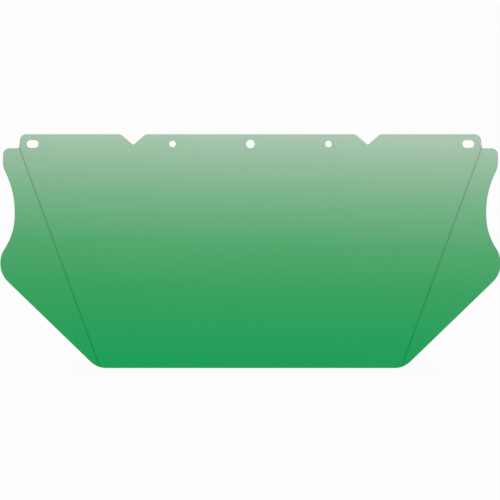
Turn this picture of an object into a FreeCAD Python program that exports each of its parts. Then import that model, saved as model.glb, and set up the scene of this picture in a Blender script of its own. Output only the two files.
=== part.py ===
import FreeCAD, Part
import math
import os

# Face shield window: one die-cut sheet of tinted polycarbonate, 8 in tall.
# The sheet is divided by two scored fold lines into a middle panel and two side wings.
# Frame: X across the face, Z up, Y through the sheet, front face towards -Y.
# The origin is the axis of the middle mounting hole, halfway through the sheet.

# overall sheet
visor_width = 435.0          # across the two lobes, the widest place
visor_height = 203.2         # top edge to bottom edge
sheet_thickness = 1.5

# mounting band along the top edge
band_inset = 17.1            # the band ends this far inside each lobe
band_corner_radius = 5.4
hole_drop = 8.4              # hole centres below the top edge
centre_hole_diameter = 7.5
stud_hole_diameter = 5.8
stud_hole_spacing = 135.6
slot_length = 10.6
slot_width = 6.8
slot_inset = 10.9            # slot centres, in from the ends of the band

# V notches in the top edge, which clear the hooks of a brow guard
notch_spacing = 203.8
notch_depth = 8.9
notch_opening = 25.2         # between the points where its shoulders leave the top edge
notch_shoulder_radius = 5.0
notch_tip_radius = 1.2

# side wings, from the ear at the top to the straight hem at the bottom
step_drop = 12.2             # top of the ears below the top edge
step_inset = 16.4            # the inside corner of the step, in from the lobes
step_radius = 0.8
ear_inset = 2.4
ear_corner_radius = 5.6
ear_side = 7.0               # straight outer edge of the ear, between its two round corners
ear_lower_radius = 17.0
waist_inset = 12.6
waist_drop = 68.9
waist_straight = 2.4         # upright edge between the waist's two curves
waist_fit = 0.999            # their radii against those that would just touch the ear and lobe
lobe_radius = 22.8
lobe_drop = 112.1
hem_width = 250.6            # the straight part of the bottom edge
hem_corner_radius = 19.7

# fold lines: a V groove in the back face that leaves a thin web at the front
fold_head_inset = 0.4        # the fold meets the step this far inside its corner
fold_foot_reach = 5.4        # and the bottom edge this far outside the straight hem
web_thickness = 0.35
web_width = 0.6
groove_angle = 50.0

half_width = visor_width / 2
band_half = half_width - band_inset
top_z = hole_drop
bottom_z = top_z - visor_height
front_y = -sheet_thickness / 2
back_y = sheet_thickness / 2
web_back_y = front_y + web_thickness
step_x = half_width - step_inset
fold_head = FreeCAD.Vector(step_x - fold_head_inset, 0, top_z - step_drop)
fold_foot = FreeCAD.Vector(hem_width / 2 + fold_foot_reach, 0, bottom_z)


def corner(x, drop, radius):
    """A round outward corner whose centre is at x and this far below the top edge."""
    return (x, top_z - drop, radius)


def hollow(x, drop, radius):
    """The same for an inward curve: its radius counts as negative."""
    return (x, top_z - drop, -radius)


def top_notch(centre_x):
    """The two shoulders of a V notch and the round tip between them, left to right."""
    shoulder = notch_opening / 2
    return [
        corner(centre_x - shoulder, notch_shoulder_radius, notch_shoulder_radius),
        hollow(centre_x, notch_depth - notch_tip_radius, notch_tip_radius),
        corner(centre_x + shoulder, notch_shoulder_radius, notch_shoulder_radius),
    ]


def waist_curve(neighbour, drop):
    """The inward curve that is upright at the waist and runs smoothly into a round corner.

    Two curves touch when their centres are as far apart as their radii together. The radius
    is a little short of that, which leaves a short straight between the two.
    """
    x, z, radius = neighbour
    waist_x = half_width - waist_inset
    across = waist_x - x
    up = (top_z - drop) - z
    touching = (across ** 2 + up ** 2 - radius ** 2) / (2 * (radius - across))
    waist_radius = waist_fit * touching
    return hollow(waist_x + waist_radius, drop, waist_radius)


def right_side():
    """The curves of the right half from the top edge's middle down to the hem."""
    ear_x = half_width - ear_inset
    ear_centre_drop = step_drop + ear_corner_radius
    ear_lower = corner(ear_x - ear_lower_radius, ear_centre_drop + ear_side, ear_lower_radius)
    lobe = corner(half_width - lobe_radius, lobe_drop, lobe_radius)
    return top_notch(notch_spacing / 2) + [
        corner(band_half - band_corner_radius, band_corner_radius, band_corner_radius),
        hollow(step_x + step_radius, step_drop - step_radius, step_radius),
        corner(ear_x - ear_corner_radius, ear_centre_drop, ear_corner_radius),
        ear_lower,
        waist_curve(ear_lower, waist_drop - waist_straight / 2),
        waist_curve(lobe, waist_drop + waist_straight / 2),
        lobe,
        corner(hem_width / 2, visor_height - hem_corner_radius, hem_corner_radius),
    ]


def common_tangent(first, second):
    """Angle of the normal to the line that touches both curves, on the outside of the sheet."""
    across = second[0] - first[0]
    up = second[1] - first[1]
    reach = math.hypot(across, up)
    return math.atan2(up, across) + math.acos((first[2] - second[2]) / reach)


def point_on(curve, angle):
    x, z, radius = curve
    return FreeCAD.Vector(x + radius * math.cos(angle), front_y, z + radius * math.sin(angle))


def sheet_blank():
    """The outline is a belt of arcs joined by the straight lines that touch them both."""
    right = right_side()
    left = [(-x, z, radius) for x, z, radius in reversed(right)]
    curves = right + left
    count = len(curves)
    normals = [common_tangent(curves[i], curves[(i + 1) % count]) for i in range(count)]
    edges = []
    for i, curve in enumerate(curves):
        arrive = normals[i - 1]
        turn = (normals[i] - arrive + math.pi) % (2 * math.pi) - math.pi
        start = point_on(curve, arrive)
        middle = point_on(curve, arrive + turn / 2)
        end = point_on(curve, arrive + turn)
        edges.append(Part.Arc(start, middle, end).toShape())
        line_end = point_on(curves[(i + 1) % count], normals[i])
        edges.append(Part.LineSegment(end, line_end).toShape())
    return Part.Face(Part.Wire(edges)).extrude(FreeCAD.Vector(0, sheet_thickness, 0))


def round_hole(x, diameter):
    start = FreeCAD.Vector(x, front_y, 0)
    return Part.makeCylinder(diameter / 2, sheet_thickness, start, FreeCAD.Vector(0, 1, 0))


def end_slot(x):
    run = (slot_length - slot_width) / 2
    corner_point = FreeCAD.Vector(x - run, front_y, -slot_width / 2)
    bar = Part.makeBox(2 * run, sheet_thickness, slot_width, corner_point)
    return bar.fuse([round_hole(x - run, slot_width), round_hole(x + run, slot_width)])


def mounting_holes():
    slot_x = band_half - slot_inset
    stud_x = stud_hole_spacing / 2
    holes = [round_hole(0, centre_hole_diameter)]
    for side in (-1, 1):
        holes.append(round_hole(side * stud_x, stud_hole_diameter))
        holes.append(end_slot(side * slot_x))
    return holes


def fold_region(side, section):
    """A prism along one fold line: section gives (outward, y) points measured from the line."""
    head = FreeCAD.Vector(side * fold_head.x, 0, fold_head.z)
    foot = FreeCAD.Vector(side * fold_foot.x, 0, fold_foot.z)
    down = (foot - head).normalize()
    outward = FreeCAD.Vector(-side * down.z, 0, side * down.x)
    start = head - down * visor_height
    points = [start + outward * reach + FreeCAD.Vector(0, y, 0) for reach, y in section]
    face = Part.Face(Part.makePolygon(points + [points[0]]))
    return face.extrude(down * 3 * visor_height)


def half_section(direction):
    """The sheet's section on one side of a fold, from the web to well past the sheet's edge."""
    near = direction * web_width / 2
    lip = near + direction * (back_y - web_back_y) * math.tan(math.radians(groove_angle / 2))
    far = direction * visor_width
    return [(near, front_y), (near, web_back_y), (lip, back_y), (far, back_y), (far, front_y)]


def web_section():
    near = web_width / 2
    return [(-near, front_y), (near, front_y), (near, web_back_y), (-near, web_back_y)]


def single_solid(shape):
    return shape.Solids[0] if len(shape.Solids) == 1 else shape


blank = sheet_blank()
panel = blank.cut(mounting_holes())
nodes = {}
for side, name in ((-1, "left"), (1, "right")):
    panel = panel.common(fold_region(side, half_section(-1)))
    nodes[name + "_wing"] = blank.common(fold_region(side, half_section(1)))
    nodes[name + "_fold_web"] = blank.common(fold_region(side, web_section()))
nodes["centre_panel"] = panel

os.makedirs("parts", exist_ok=True)
for name, shape in nodes.items():
    piece = single_solid(shape)
    piece.exportStep("parts/" + name + ".step")
    box = piece.BoundBox
    print(name, "solids", len(piece.Solids), "valid", piece.isValid(), "mm3", round(piece.Volume, 1))
    print("  x", round(box.XMin, 2), round(box.XMax, 2), "z", round(box.ZMin, 2), round(box.ZMax, 2))
print("fold axis through", fold_head, fold_foot, "at y", (front_y + web_back_y) / 2)
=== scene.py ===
import math

import bpy
import numpy as np
from mathutils.geometry import delaunay_2d_cdt
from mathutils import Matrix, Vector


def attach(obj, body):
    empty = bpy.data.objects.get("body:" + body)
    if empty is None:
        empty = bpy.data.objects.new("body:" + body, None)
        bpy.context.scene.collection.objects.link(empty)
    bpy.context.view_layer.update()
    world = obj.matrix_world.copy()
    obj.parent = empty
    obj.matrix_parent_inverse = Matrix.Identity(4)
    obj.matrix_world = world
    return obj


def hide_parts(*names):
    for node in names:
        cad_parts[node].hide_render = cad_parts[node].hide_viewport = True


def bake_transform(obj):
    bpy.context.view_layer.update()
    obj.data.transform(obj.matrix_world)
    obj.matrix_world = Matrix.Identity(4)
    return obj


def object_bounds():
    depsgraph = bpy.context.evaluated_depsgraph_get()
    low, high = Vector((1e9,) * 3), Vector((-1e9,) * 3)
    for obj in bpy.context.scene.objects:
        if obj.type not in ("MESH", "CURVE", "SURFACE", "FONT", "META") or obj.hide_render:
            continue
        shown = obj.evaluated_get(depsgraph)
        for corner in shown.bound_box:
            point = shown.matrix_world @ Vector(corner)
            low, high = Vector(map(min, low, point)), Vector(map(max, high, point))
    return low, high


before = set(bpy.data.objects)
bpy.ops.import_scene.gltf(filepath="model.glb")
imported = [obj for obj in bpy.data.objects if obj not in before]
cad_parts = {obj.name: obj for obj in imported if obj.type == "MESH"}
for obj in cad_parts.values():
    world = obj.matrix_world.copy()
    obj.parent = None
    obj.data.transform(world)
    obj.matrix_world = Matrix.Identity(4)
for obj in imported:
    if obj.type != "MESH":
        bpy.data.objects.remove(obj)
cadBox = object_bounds()
mm = 0.001
print("frame loaded:", sorted(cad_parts))


# the line the sheet is cut along, in millimetres measured in from the box of the CAD sheet
dieLine = {
    "bandInset": 17.1,
    "bandCornerRadius": 5.4,
    "notchSpacing": 203.8,
    "notchDepth": 8.9,
    "notchOpening": 25.2,
    "notchShoulderRadius": 5.0,
    "notchTipRadius": 1.2,
    "stepDrop": 12.2,
    "stepInset": 16.4,
    "stepRadius": 0.8,
    "earInset": 2.4,
    "earCornerRadius": 5.6,
    "earSide": 7.0,
    "earLowerRadius": 17.0,
    "waistInset": 12.6,
    "waistDrop": 68.9,
    "waistStraight": 2.4,
    "waistFit": 0.999,
    "lobeRadius": 22.8,
    "lobeDrop": 112.1,
    "hemWidth": 250.6,
    "hemCornerRadius": 19.7,
    "arcStep": 6.0,               # degrees between points on a round corner
    "longestStep": 3.0,           # millimetres between them on a wide one
}

sheetLow, sheetHigh = np.array(cadBox[0]) / mm, np.array(cadBox[1]) / mm
halfWidth = sheetHigh[0]
topZ = sheetHigh[2]
bottomZ = sheetLow[2]
frontY = sheetLow[1]
backY = sheetHigh[1]


def waistCurve(x, z, radius, drop):
    # a hollow that is upright at the waist and touches the round corner at (x, z): the two centres
    # are as far apart as the two radii together, less the small slack that waistFit leaves
    waistX = halfWidth - dieLine["waistInset"]
    across = waistX - x
    up = topZ - drop - z
    own = dieLine["waistFit"] * (across**2 + up**2 - radius**2) / (2 * (radius - across))
    return (waistX + own, topZ - drop, -own)


def rightCurves():
    # (x, z, radius) of each round corner from the top edge's middle to the hem, hollows with a
    # radius below zero
    d = dieLine
    shoulder = d["notchOpening"] / 2
    notchX = d["notchSpacing"] / 2
    bandX = halfWidth - d["bandInset"] - d["bandCornerRadius"]
    stepX = halfWidth - d["stepInset"] + d["stepRadius"]
    earX = halfWidth - d["earInset"]
    earZ = topZ - d["stepDrop"] - d["earCornerRadius"]
    earLower = (earX - d["earLowerRadius"], earZ - d["earSide"], d["earLowerRadius"])
    lobe = (halfWidth - d["lobeRadius"], topZ - d["lobeDrop"], d["lobeRadius"])
    shoulderZ = topZ - d["notchShoulderRadius"]
    return np.array([
        (notchX - shoulder, shoulderZ, d["notchShoulderRadius"]),
        (notchX, topZ - d["notchDepth"] + d["notchTipRadius"], -d["notchTipRadius"]),
        (notchX + shoulder, shoulderZ, d["notchShoulderRadius"]),
        (bandX, topZ - d["bandCornerRadius"], d["bandCornerRadius"]),
        (stepX, topZ - d["stepDrop"] + d["stepRadius"], -d["stepRadius"]),
        (earX - d["earCornerRadius"], earZ, d["earCornerRadius"]),
        earLower,
        waistCurve(*earLower, d["waistDrop"] - d["waistStraight"] / 2),
        waistCurve(*lobe, d["waistDrop"] + d["waistStraight"] / 2),
        lobe,
        (d["hemWidth"] / 2, bottomZ + d["hemCornerRadius"], d["hemCornerRadius"]),
    ])


def rightHalfLine():
    # a belt round the corners: a point on a corner is its centre plus radius times the outward
    # normal, and the line to the next corner has the normal that both share, which leans from the
    # line of centres by the arc cosine of (radius - next radius) / distance. The straight
    # stretches need no points of their own
    curves = rightCurves()
    step = np.diff(curves, axis=0)
    reach = np.hypot(step[:, 0], step[:, 1])
    shared = np.arctan2(step[:, 1], step[:, 0]) + np.arccos(-step[:, 2] / reach)
    arrive = np.concatenate(([math.pi / 2], shared))
    leave = np.concatenate((shared, [-math.pi / 2]))
    turn = (leave - arrive + math.pi) % (2 * math.pi) - math.pi
    points, normals = [], []
    for (x, z, radius), first, sweep in zip(curves, arrive, turn):
        byTurn = abs(sweep) / math.radians(dieLine["arcStep"])
        byLength = abs(radius * sweep) / dieLine["longestStep"]
        angle = first + sweep * np.linspace(0, 1, math.ceil(max(byTurn, byLength)) + 1)
        normals.append(np.column_stack((np.cos(angle), np.sin(angle))))
        points.append(np.array([x, z]) + radius * normals[-1])
    return np.vstack(points), np.vstack(normals)


# the two scored fold lines, in millimetres
foldScore = {
    "headInset": 0.4,
    "footReach": 5.4,
    "webThickness": 0.35,
    "webWidth": 0.6,
    "grooveAngle": 50.0,          # degrees, wall to wall
    "webRows": 24,                # steps along the web and across it
    "webSteps": 6,
    "seam": 0.01,                 # air between a web and the sheet beside it
}

foldHead = np.array([
    halfWidth - dieLine["stepInset"] - foldScore["headInset"], topZ - dieLine["stepDrop"]])
foldFoot = np.array([dieLine["hemWidth"] / 2 + foldScore["footReach"], bottomZ])
foldDown = (foldFoot - foldHead) / np.hypot(*(foldFoot - foldHead))
foldOut = np.array([-foldDown[1], foldDown[0]])
webBackY = frontY + foldScore["webThickness"]

# how the edge and the faces are meshed, in millimetres
sheetEdge = {
    "rounding": 0.18,             # the cutter leaves the edge a little round, front and back
    "roundingSteps": 3,
    "innerSpacing": 14.0,         # between the points inside the flat faces
}


def edgeLevels():
    # the edge from the front face to the back one, as rows of y, inset and distance from the fold:
    # a quarter round, the upright wall, and a quarter round again. Beside the fold the wall is
    # upright as far back as the web and then leans away at half the groove's angle
    angle = np.linspace(0, math.pi / 2, sheetEdge["roundingSteps"] + 1)
    down = sheetEdge["rounding"] * (1 - np.cos(angle))
    inset = sheetEdge["rounding"] * (1 - np.sin(angle))
    y = np.concatenate((frontY + down, [webBackY], backY - down[::-1]))
    lean = math.tan(math.radians(foldScore["grooveAngle"] / 2))
    away = foldScore["webWidth"] / 2 + lean * np.maximum(y - webBackY, 0)
    return np.column_stack((y, np.concatenate((inset, [0.0], inset[::-1])), away))


def foldCrossings(line, normals, inset, away):
    # where the inset line crosses the fold's parallel this far out: at its head, then at its foot
    moved = line - inset * normals
    out = (moved - foldHead) @ foldOut - away
    head = np.flatnonzero((out[:-1] < 0) & (out[1:] >= 0))[0]
    foot = np.flatnonzero((out[:-1] >= 0) & (out[1:] < 0))[-1]
    at = np.array([head, foot])
    share = (-out[at] / (out[at + 1] - out[at]))[:, None]
    return moved[at] + share * (moved[at + 1] - moved[at])


def mirrored(points):
    # x changes sign, and the order turns round so that the line runs on from right to left
    return points[::-1] * np.array([-1.0, 1.0])


def panelEdge(line, normals, levels):
    # one clockwise loop for each level, and which of its points lie on a fold
    clear = (line - foldHead) @ foldOut < -levels[-1, 2] - sheetEdge["rounding"]
    isTop = clear & (np.arange(len(line)) < np.flatnonzero(~clear)[0])
    isHem = clear & ~isTop
    loops = []
    for _, inset, away in levels:
        ends = foldCrossings(line, normals, inset, -away)
        moved = line - inset * normals
        half = np.vstack((moved[isTop], ends, moved[isHem]))
        loops.append(np.vstack((half, mirrored(half))))
    onHalf = np.concatenate((np.zeros(isTop.sum()), np.ones(len(ends)), np.zeros(isHem.sum())))
    return np.array(loops), np.concatenate((onHalf, onHalf[::-1])) > 0


def wingEdge(line, normals, levels):
    # the same for the right wing, whose fold side comes last
    isWing = (line - foldHead) @ foldOut > levels[-1, 2] + sheetEdge["rounding"]
    loops = []
    for _, inset, away in levels:
        head, foot = foldCrossings(line, normals, inset, away)
        moved = line - inset * normals
        loops.append(np.vstack((head, moved[isWing], foot)))
    onFold = np.zeros(len(loops[0]), bool)
    onFold[[0, -1]] = True
    return np.array(loops), onFold


# the holes in the mounting band, in millimetres
mountingHoles = {
    "centreDiameter": 7.5,
    "studDiameter": 5.8,
    "studSpacing": 135.6,
    "slotLength": 10.6,
    "slotWidth": 6.8,
    "slotInset": 10.9,
    "steps": 48,                  # points round each one
}


def holeEdge(x, length, width, levels):
    # anticlockwise round a hole with half-round ends: a point is the end's centre plus the radius
    # times its direction, and the hole opens out by each level's inset
    angle = np.linspace(0, 2 * math.pi, mountingHoles["steps"], endpoint=False)
    angle += math.pi / mountingHoles["steps"]
    outward = np.column_stack((np.cos(angle), np.sin(angle)))
    run = (length - width) / 2
    middle = np.column_stack((x + run * np.sign(outward[:, 0]), np.zeros(len(angle))))
    radius = width / 2 + levels[:, 1]
    return middle[None] + radius[:, None, None] * outward[None]


def bandHoles(levels):
    # the middle hole, then a stud hole and an end slot on each side
    h = mountingHoles
    stud = h["studSpacing"] / 2
    slot = halfWidth - dieLine["bandInset"] - h["slotInset"]
    sizes = [(0.0, h["centreDiameter"], h["centreDiameter"])]
    for side in (-1, 1):
        sizes.append((side * stud, h["studDiameter"], h["studDiameter"]))
        sizes.append((side * slot, h["slotLength"], h["slotWidth"]))
    return [holeEdge(*size, levels) for size in sizes]


def wallQuads(first, levels, count):
    # quads between each loop and the next one back
    row = first + np.arange(count)
    ahead = np.roll(row, -1)
    quads = np.stack((row, ahead, ahead + count, row + count), axis=1)
    return (quads[None] + count * np.arange(levels - 1)[:, None, None]).reshape(-1, 4)


def insideOf(points, loops):
    # a point is inside the sheet where an odd number of its edges lie to the point's right
    start = np.vstack(loops)
    end = np.vstack([np.roll(loop, -1, axis=0) for loop in loops])
    height = points[:, None, 1]
    crosses = (start[:, 1] > height) != (end[:, 1] > height)
    rise = np.where(end[:, 1] == start[:, 1], 1.0, end[:, 1] - start[:, 1])
    reach = start[:, 0] + (height - start[:, 1]) / rise * (end[:, 0] - start[:, 0])
    return (crosses & (points[:, None, 0] < reach)).sum(axis=1) % 2 == 1


def innerPoints(loops):
    # an even triangular grid that stays inside the sheet and clear of its edges: the nearest spot
    # of an edge is its start plus the share of it that the point lies along
    gap = sheetEdge["innerSpacing"]
    start = np.vstack(loops)
    along = np.vstack([np.roll(loop, -1, axis=0) for loop in loops]) - start
    low, high = start.min(axis=0), start.max(axis=0)
    rowGap = gap * math.sin(math.pi / 3)
    x, z = np.meshgrid(np.arange(low[0], high[0], gap), np.arange(low[1], high[1], rowGap))
    x = x + gap / 2 * (np.arange(len(x)) % 2)[:, None]
    grid = np.column_stack((x.ravel(), z.ravel()))
    offset = grid[:, None] - start
    share = np.clip((offset * along).sum(axis=2) / (along**2).sum(axis=1), 0, 1)
    nearest = np.linalg.norm(offset - share[:, :, None] * along, axis=2).min(axis=1)
    return grid[insideOf(grid, loops) & (nearest > gap / 3)]


def filledFace(loops):
    # triangles between all the points, less those outside the outer loop or in a hole. The sheet
    # lies to the right of every loop, so a triangle, which goes anticlockwise, is part of it where
    # it runs back along a rim edge, and not where it runs forward along one
    starts = np.cumsum([0] + [len(loop) for loop in loops])
    following = np.concatenate([
        start + np.roll(np.arange(len(loop)), -1) for start, loop in zip(starts, loops)])
    edges = np.column_stack((np.arange(len(following)), following))
    inner = innerPoints(loops)
    points = np.vstack(loops + [inner])
    wholeHull = 0
    made, _, triangles, *_ = delaunay_2d_cdt(
        points.tolist(), edges.tolist(), [], wholeHull, 0.0, False)
    if len(made) != len(points):
        raise ValueError("a flat face gained or lost points while it was filled")
    triangles = np.array(triangles)
    ahead = np.concatenate((following, np.full(len(inner), -1)))
    turned = np.roll(triangles, -1, axis=1)
    back = (ahead[turned] == triangles).any(axis=1)
    forward = (ahead[triangles] == turned).any(axis=1)
    away = ~back & ~forward & insideOf(points[triangles].mean(axis=1), loops)
    return inner, triangles[(back & ~forward) | away]


def sheetPiece(name, levels, outer, onFold, holes, finishes):
    # the walls' points come first, loop by loop from front to back, and then the points inside the
    # front face and the back face
    y = levels[:, 0]
    blocks, quads, grooved, firsts = [], [], [], []
    total = 0
    for stack in [outer] + holes:
        rows, count = stack.shape[:2]
        flat = stack.reshape(-1, 2)
        blocks.append(np.column_stack((flat[:, 0], np.repeat(y, count), flat[:, 1])))
        quads.append(wallQuads(total, rows, count))
        fold = onFold & np.roll(onFold, -1) if stack is outer else np.zeros(count, bool)
        grooved.append(np.tile(fold, rows - 1))
        firsts.append(total)
        total += rows * count
    caps = []
    for row in (0, len(y) - 1):
        loops = [stack[row] for stack in [outer] + holes]
        inner, triangles = filledFace(loops)
        index = [
            first + row * len(loop) + np.arange(len(loop)) for first, loop in zip(firsts, loops)]
        index = np.concatenate(index + [total + np.arange(len(inner))])
        blocks.append(np.column_stack((inner[:, 0], np.full(len(inner), y[row]), inner[:, 1])))
        total += len(inner)
        caps.append(index[triangles] if row == 0 else index[triangles][:, ::-1])
    slots = np.concatenate([
        np.where(np.concatenate(grooved), 2, 1), np.zeros(len(caps[0]) + len(caps[1]))])
    faces = np.vstack(quads).tolist() + np.vstack(caps).tolist()
    return meshPiece(name, np.vstack(blocks), faces, slots.astype(np.int32), slots == 1, finishes)


def meshPiece(name, points, faces, slots, smooth, finishes):
    # millimetres become metres, and each face takes the finish its slot names
    mesh = bpy.data.meshes.new(name)
    mesh.from_pydata((points * mm).tolist(), [], faces)
    for finish in finishes:
        mesh.materials.append(finish)
    mesh.polygons.foreach_set("material_index", slots)
    mesh.polygons.foreach_set("use_smooth", smooth)
    mesh.update()
    piece = bpy.data.objects.new(name, mesh)
    bpy.context.scene.collection.objects.link(piece)
    return piece


def foldBend(name, side, line, normals, finish):
    # a strip along the fold: each row is a ring that crosses the front from the panel to the wing
    # and comes back behind, and the rows go in even steps from the fold's head to its foot
    reach = foldScore["webWidth"] / 2 - foldScore["seam"]
    across = np.linspace(-reach, reach, foldScore["webSteps"] + 1)
    ends = np.array([foldCrossings(line, normals, 0.0, away) for away in across])
    ends = np.concatenate((ends, ends[::-1]))
    share = np.linspace(0, 1, foldScore["webRows"] + 1)[:, None, None]
    rings = ends[:, 0] + share * (ends[:, 1] - ends[:, 0])
    y = np.broadcast_to(np.repeat((frontY, webBackY), len(across)), rings.shape[:2])
    points = np.stack((side * rings[:, :, 0], y, rings[:, :, 1]), axis=2).reshape(-1, 3)
    count = len(ends)
    ring = np.arange(count)
    faces = wallQuads(0, len(rings), count).tolist()
    faces += [ring[::-1].tolist(), (len(points) - count + ring).tolist()]
    if side > 0:
        faces = [face[::-1] for face in faces]
    slots = np.zeros(len(faces), np.int32)
    return meshPiece(name, points, faces, slots, slots > 0, [finish])


# the tinted polycarbonate: its green, and how each kind of surface takes the light
tint = {
    # share of the height from the hem up, and the green there: the sheet's own deep green at the
    # hem, paled towards the band by painted glare
    "greensAndPaintedGlare": (
        (0.0, (0.009, 0.366, 0.104)),
        (0.14, (0.019, 0.366, 0.107)),
        (0.333, (0.042, 0.382, 0.121)),
        (0.525, (0.089, 0.415, 0.163)),
        (0.72, (0.194, 0.476, 0.255)),
        (0.89, (0.325, 0.545, 0.368)),
        (1.0, (0.432, 0.605, 0.472)),
    ),
    "slant": 0.027,               # the bands of colour, painted glare among them, sink this much per metre across
    "cloudSize": 9.0,             # patches per metre where the tint is uneven
    "cloudDepth": 0.012,          # and how far they move the green, as a share of the height
    "grainSize": 140.0,           # patches per metre where the gloss is uneven
    "grainRange": (0.3, 0.7),
    "bumpUnit": 0.001,            # metres
}

# shade is a share of the green, roughness runs from least to most, and the bump is given as
# patches per metre and a share of bumpUnit
polishedFinish = {
    "shade": 1.0,
    "index": 1.58,
    "roughness": (0.015, 0.05),
    "bumpSize": 11.0,
    "bumpHeight": 0.02,
}
cutFinish = {
    "shade": 0.80,
    "index": 1.58,
    "roughness": (0.24, 0.40),
    "bumpSize": 900.0,
    "bumpHeight": 0.15,
}
scoreFinish = {
    # darker than the face: painted shade along the fold's crease
    "shade": 0.72,
    "index": 1.05,                # low, because the crushed walls of the groove let light out
    "roughness": (0.12, 0.20),
    "bumpSize": 700.0,
    "bumpHeight": 0.1,
}
webFinish = {
    # darker than the face: painted shade along the fold's crease
    "shade": 0.75,
    "index": 1.58,
    "roughness": (0.04, 0.10),
    "bumpSize": 60.0,
    "bumpHeight": 0.02,
}


def wire(tree, *pairs):
    # (output, input) pairs
    for source, target in pairs:
        tree.links.new(source, target)


def addMath(tree, kind, first, second):
    # each of the two is a plain number or another node's output
    node = tree.nodes.new("ShaderNodeMath")
    node.operation = kind
    for socket, value in zip(node.inputs, (first, second)):
        if isinstance(value, float):
            socket.default_value = value
        else:
            tree.links.new(value, socket)
    return node.outputs[0]


def noise(tree, place, size, detail):
    # clouds from 0 to 1, with this many patches per metre
    node = tree.nodes.new("ShaderNodeTexNoise")
    node.inputs["Scale"].default_value = size
    node.inputs["Detail"].default_value = detail
    tree.links.new(place, node.inputs["Vector"])
    return node.outputs["Fac"]


def ranged(tree, value, old, new):
    # the old range stretched on to the new one, and held at its ends
    node = tree.nodes.new("ShaderNodeMapRange")
    for name, number in zip(("From Min", "From Max", "To Min", "To Max"), (*old, *new)):
        node.inputs[name].default_value = number
    tree.links.new(value, node.inputs["Value"])
    return node.outputs["Result"]


def tintedFinish(name, finish):
    # the green, paled towards the band by painted glare, is read from the height plus a little of
    # the way across. The cut edge takes a darker share of it, and the score a darker share that is
    # painted shade in the fold's crease
    material = bpy.data.materials.new(name)
    material.use_nodes = True
    tree = material.node_tree
    shader = tree.nodes["Principled BSDF"]
    place = tree.nodes.new("ShaderNodeTexCoord").outputs["Object"]
    axes = tree.nodes.new("ShaderNodeSeparateXYZ")
    wire(tree, (place, axes.inputs[0]))
    slanted = addMath(tree, "MULTIPLY", axes.outputs["X"], tint["slant"])
    level = addMath(tree, "ADD", axes.outputs["Z"], slanted)
    share = ranged(tree, level, (bottomZ * mm, topZ * mm), (0.0, 1.0))
    patches = noise(tree, place, tint["cloudSize"], 2.0)
    cloud = ranged(tree, patches, (0.0, 1.0), (-tint["cloudDepth"], tint["cloudDepth"]))
    # the ramp holds the sheet's green, paled towards the band by painted glare
    ramp = tree.nodes.new("ShaderNodeValToRGB")
    stops = ramp.color_ramp.elements
    while len(stops) < len(tint["greensAndPaintedGlare"]):
        stops.new(0.5)
    for stop, (at, green) in zip(stops, tint["greensAndPaintedGlare"]):
        stop.position = at
        stop.color = (*[finish["shade"] * part for part in green], 1.0)
    wire(tree, (addMath(tree, "ADD", share, cloud), ramp.inputs["Fac"]),
         (ramp.outputs["Color"], shader.inputs["Base Color"]))
    grain = noise(tree, place, tint["grainSize"], 3.0)
    wire(tree, (ranged(tree, grain, tint["grainRange"], finish["roughness"]),
                shader.inputs["Roughness"]))
    bump = tree.nodes.new("ShaderNodeBump")
    bump.inputs["Strength"].default_value = finish["bumpHeight"]
    bump.inputs["Distance"].default_value = tint["bumpUnit"]
    wire(tree, (noise(tree, place, finish["bumpSize"], 1.0), bump.inputs["Height"]),
         (bump.outputs["Normal"], shader.inputs["Normal"]))
    shader.inputs["IOR"].default_value = finish["index"]
    shader.inputs["Transmission Weight"].default_value = 1.0
    return material


polishedFace = tintedFinish("tintedPolycarbonateFace", polishedFinish)
cutEdge = tintedFinish("tintedPolycarbonateCutEdge", cutFinish)
scoreWithPaintedShade = tintedFinish("tintedPolycarbonateScore", scoreFinish)
webWithPaintedShade = tintedFinish("tintedPolycarbonateWeb", webFinish)
print("finishes made")

line, normals = rightHalfLine()
levels = edgeLevels()
finishes = [polishedFace, cutEdge, scoreWithPaintedShade]

outer, onFold = panelEdge(line, normals, levels)
panelSheet = sheetPiece("centrePanelSheet", levels, outer, onFold, bandHoles(levels), finishes)
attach(panelSheet, "panel")
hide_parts("centre_panel")
print("centre panel cut:", len(panelSheet.data.polygons), "faces")

wing, wingFold = wingEdge(line, normals, levels)
for side, word in ((1, "right"), (-1, "left")):
    if side > 0:
        edge, edgeFold = wing, wingFold
    else:
        edge, edgeFold = wing[:, ::-1] * np.array([-1.0, 1.0]), wingFold[::-1]
    sheet = sheetPiece(word + "WingSheet", levels, edge, edgeFold, [], finishes)
    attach(sheet, word + "_wing")
    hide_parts(word + "_wing")
    bend = foldBend(word + "FoldBend", side, line, normals, webWithPaintedShade)
    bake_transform(bend)
    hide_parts(word + "_fold_web")
    print(word, "wing and its fold made")


# the white room, in metres
studio = {
    "paper": 0.98,                # how bright the white paper looks straight on
    "paperGlow": 0.905,           # the floor's own share of that, which takes no shadow
    "paperDiffuse": 0.07,
    "paperRoughness": 0.9,
    "floorSize": 8.0,
    "gloss": 0.10,                # what a polished face mirrors from straight ahead or behind
    "sideGloss": 0.60,            # and from the sides, above and below
    "glossTurn": (0.30, 0.70),    # the change lies between these parts of a direction along y
}

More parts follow.
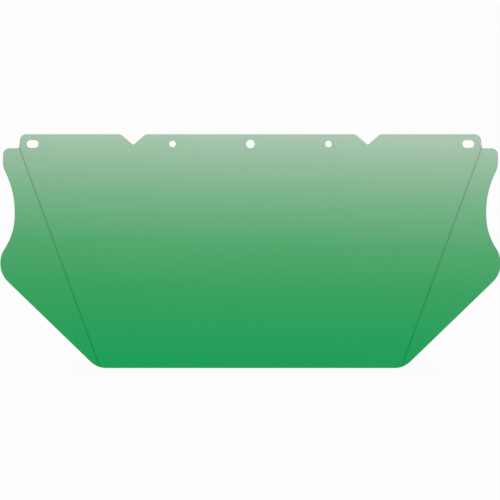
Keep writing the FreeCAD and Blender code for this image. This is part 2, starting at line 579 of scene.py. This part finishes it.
floorMesh = bpy.data.meshes.new("studioFloor")
floorHalf = studio["floorSize"] / 2
floorZ = bottomZ * mm
floorCorners = [
    (x * floorHalf, y * floorHalf, floorZ) for x, y in ((-1, -1), (1, -1), (1, 1), (-1, 1))]
floorMesh.from_pydata(floorCorners, [], [(0, 1, 2, 3)])
floor = bpy.data.objects.new("studioFloor", floorMesh)
bpy.context.scene.collection.objects.link(floor)
paper = bpy.data.materials.new("whitePaper")
paper.use_nodes = True
paperShader = paper.node_tree.nodes["Principled BSDF"]
paperShader.inputs["Base Color"].default_value = (studio["paperDiffuse"],) * 3 + (1.0,)
paperShader.inputs["Roughness"].default_value = studio["paperRoughness"]
paperShader.inputs["Specular IOR Level"].default_value = 0.0
paperShader.inputs["Emission Color"].default_value = (1.0, 1.0, 1.0, 1.0)
paperShader.inputs["Emission Strength"].default_value = studio["paperGlow"]
floorMesh.materials.append(paper)
floor.visible_glossy = False

world = bpy.data.worlds.new("paleStudio")
bpy.context.scene.world = world
world.use_nodes = True
sky = world.node_tree
backdrop = sky.nodes["Background"]
backdrop.inputs["Color"].default_value = (1.0, 1.0, 1.0, 1.0)

# a mirrored ray sees the dim tone, and every other ray, also one that went through the sheet, sees
# white paper: strength = mirrored share * tone + (1 - mirrored share) * paper
path = sky.nodes.new("ShaderNodeLightPath")
notThrough = addMath(sky, "SUBTRACT", 1.0, path.outputs["Is Transmission Ray"])
mirrorOnly = addMath(sky, "MULTIPLY", path.outputs["Is Glossy Ray"], notThrough)
heading = sky.nodes.new("ShaderNodeSeparateXYZ")
wire(sky, (sky.nodes.new("ShaderNodeTexCoord").outputs["Generated"], heading.inputs[0]))
alongY = addMath(sky, "ABSOLUTE", heading.outputs["Y"], 0.0)
mirrorTone = ranged(sky, alongY, studio["glossTurn"], (studio["sideGloss"], studio["gloss"]))
mirrorShare = addMath(sky, "MULTIPLY", mirrorOnly, mirrorTone)
paperShare = addMath(sky, "MULTIPLY", addMath(sky, "SUBTRACT", 1.0, mirrorOnly), studio["paper"])
wire(sky, (addMath(sky, "ADD", mirrorShare, paperShare), backdrop.inputs["Strength"]))

# each lamp's place, the point it is aimed at, its width and its power
softBoxes = {
    "overhead": ((0.0, -0.35, 1.5), (0.0, 0.0, -0.1), 1.6, 6.0),
    "leftBox": ((-1.6, 0.5, 0.6), (0.0, 0.0, -0.1), 1.1, 4.0),
    "rightBox": ((1.6, 0.5, 0.6), (0.0, 0.0, -0.1), 1.1, 4.0),
}


def aimed(obj, place, target):
    # turned about z, then tipped, until its own -z axis points at the target
    direction = np.array(place) - np.array(target)
    obj.location = place
    yaw = math.atan2(direction[0], -direction[1])
    pitch = math.atan2(direction[2], math.hypot(direction[0], direction[1]))
    obj.rotation_euler = (math.pi / 2 - pitch, 0.0, yaw)


for name, (place, target, size, power) in softBoxes.items():
    lamp = bpy.data.lights.new(name, "AREA")
    lamp.size = size
    lamp.energy = power
    light = bpy.data.objects.new(name, lamp)
    aimed(light, place, target)
    bpy.context.scene.collection.objects.link(light)

view = {
    "lens": 100.0,
    "sensor": 36.0,
    "widthAtFront": 434.5,        # millimetres of the front face that fill the picture's width
    "centre": (-0.4, -92.2),      # the point on the front face that it looks at, x and z
}

# distance = width * lens / sensor
eye = bpy.data.cameras.new("frontCamera")
eye.lens = view["lens"]
eye.sensor_width = view["sensor"]
camera = bpy.data.objects.new("frontCamera", eye)
distance = view["widthAtFront"] * view["lens"] / view["sensor"]
camera.location = (view["centre"][0] * mm, (frontY - distance) * mm, view["centre"][1] * mm)
camera.rotation_euler = (math.pi / 2, 0.0, 0.0)
bpy.context.scene.collection.objects.link(camera)
bpy.context.scene.camera = camera
bpy.context.scene.view_settings.view_transform = "Standard"

print("scene finished")
